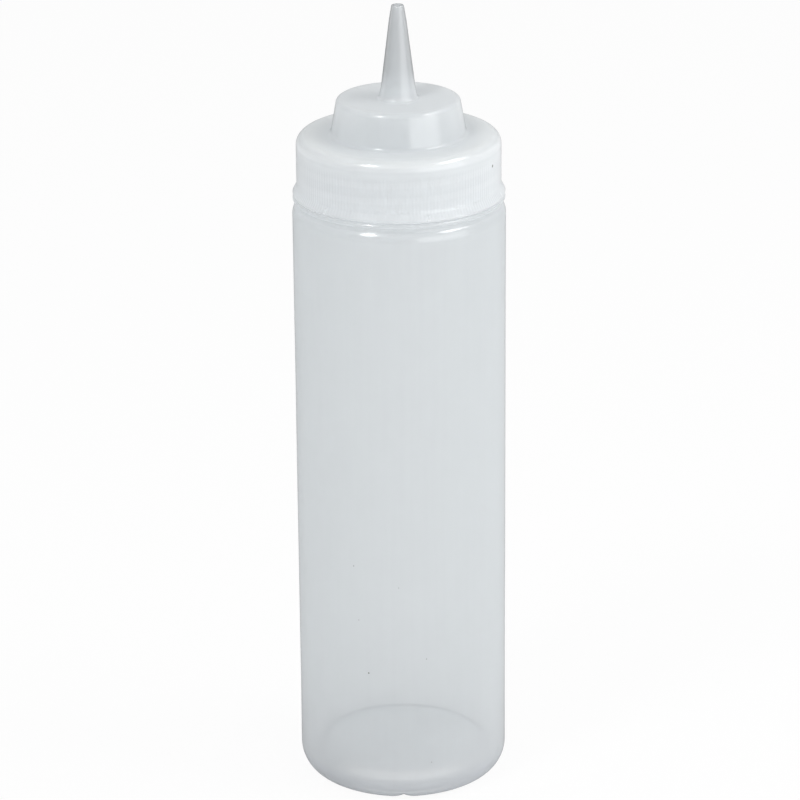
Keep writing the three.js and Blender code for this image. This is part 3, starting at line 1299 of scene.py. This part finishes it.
# %% [markdown]
# ### Milk of each zone
#
# Each zone has one plain colour, the share of the light that goes straight through and the
# share that glows through. The skirt is whiter than the wall, and the base and the nozzle are
# greyer. These could be picked by eye in the node editor. As a short table they can be
# compared with each other and changed in one place.

# %% Finishes of the bottle and the cap
bottle_milk = Milk((0.768, 0.795, 0.806, 1), 0.603, 0.545)
# Painted shade: darker milk for the lower wall.
painted_lower_shade_milk = Milk((0.686, 0.705, 0.721, 1), 0.57, 0.42)
# Painted shade: darker milk round the heel.
painted_heel_shade_milk = Milk((0.60, 0.62, 0.65, 1), 0.52, 0.36)
panel_milk = Milk((0.74, 0.765, 0.79, 1), 0.4, 0.4)
# Painted shade: a dark line round the back of the panel's rim.
painted_back_rim_shade_milk = Milk((0.34, 0.36, 0.41, 1), 0.1, 0.12)
# Painted light: a warm, pale band; its high clear share also lets the ground through.
painted_front_rim_light_milk = Milk((1.0, 0.965, 0.92, 1), 0.9, 0.7, edge_grey=1.0)
# Painted shade: darker milk on the standing ring by the floor.
painted_foot_shade_milk = Milk((0.62, 0.64, 0.67, 1), 0.25, 0.3)
# Painted light: this milk also lightens the groove under the cap.
neck_and_painted_groove_light_milk = Milk((0.95, 0.965, 0.975, 1), 0.6, 0.7)
top_milk = Milk((0.793, 0.813, 0.824, 1), 0.61, 0.46)
ridge_milk = Milk((0.955, 0.967, 0.977, 1), 0.43, 0.51)
skirt_milk = Milk((0.957, 0.971, 0.982, 1), 0.459, 0.55)
lug_milk = Milk((1, 1, 1, 1), 0.05, 0.7)
nozzle_milk = Milk((0.665, 0.688, 0.704, 1), 0.45, 0.37, edge_grey=0.1, edge_power=1.8)

bottle_zones = [
    (painted_lower_shade_zone, painted_lower_shade_milk), (painted_heel_shade_zone, painted_heel_shade_milk), (panel_zone, panel_milk),
    (painted_back_rim_shade_zone, painted_back_rim_shade_milk), (painted_front_rim_light_zone, painted_front_rim_light_milk), (painted_foot_shade_zone, painted_foot_shade_milk),
    (neck_and_painted_groove_light_zone, neck_and_painted_groove_light_milk), (neck_ridge_zone, ridge_milk),
]
cap_zones = [
    (skirt_zone, skirt_milk), (cap_ridge_zone, ridge_milk), (lug_zone, lug_milk),
    (nozzle_zone, nozzle_milk),
]
bottle_plastic = milky_plastic(
    "bottle_plastic", bottle_milk, bottle_zones, bottle_flecks, body_radius)
cap_plastic = milky_plastic("cap_plastic", top_milk, cap_zones, cap_flecks, skirt_radius)
print("Straight through two bottle walls:", round(bottle_milk.clear_share**2, 2))

# %% [markdown]
# ## Washer foam
#
# Closed-cell foam is matt, and where it is cut its cells lie open as fine pores. Real holes
# would take a very dense mesh for something 0.4 mm wide. A Voronoi texture has the right cell
# pattern: its distance from the cell's middle paints shade into the pores and dents them with
# a bump.

# %% Washer foam
foam_colour = (0.90, 0.90, 0.87, 1)
# Painted shade in the hollows of the pores.
pore_shade_colour = (0.80, 0.80, 0.77, 1)
pore_scale = 2600.0
pore_shade_fade = (0.1, 0.6)
pore_depth = 0.08 * mm
foam_relief_strength = 0.5
foam_roughness = 0.8


def washer_foam():
    material = bpy.data.materials.new("washer_foam")
    graph = Graph(material)
    place = graph.add("ShaderNodeTexCoord", output="Object")
    values = {"Vector": place, "Scale": pore_scale}
    cells = graph.add("ShaderNodeTexVoronoi", None, values, "Distance")
    colour = mixed_colour(graph, pore_shade_colour, foam_colour, cells.above(*pore_shade_fade))
    bumped = graph.add("ShaderNodeBump", None, {
        "Strength": foam_relief_strength, "Distance": pore_depth, "Height": cells})
    surface = graph.add("ShaderNodeBsdfPrincipled", None, {
        "Base Color": colour, "Roughness": foam_roughness, "Normal": bumped})
    graph.end("ShaderNodeOutputMaterial", surface)
    return material


print("Pores to a metre:", round(pore_scale))

# %% [markdown]
# ## Putting the pieces together
#
# Each skin stands for one solid of the frame and moves with its body: the bottle stays, the
# washer rises with the cap, and the cap turns as it rises. Parenting objects to each other
# would also move them. Naming the body leaves all motion to the frame, so the skins and the
# solids can't drift apart.

# %% Assembly
assembly = [
    (bottle_wall, bottle_plastic, "bottle", "bottle", "bottle_plastic"),
    (cap_shell, cap_plastic, "cap", "screw_cap", "cap_plastic"),
    (washer, washer_foam(), "washer", "sealing_washer", "washer_foam"),
]
for piece, material, body, node, slot in assembly:
    piece.data.materials.append(material)
    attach(piece, body)
    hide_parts(node)
    print(piece.name, "rides on", body)
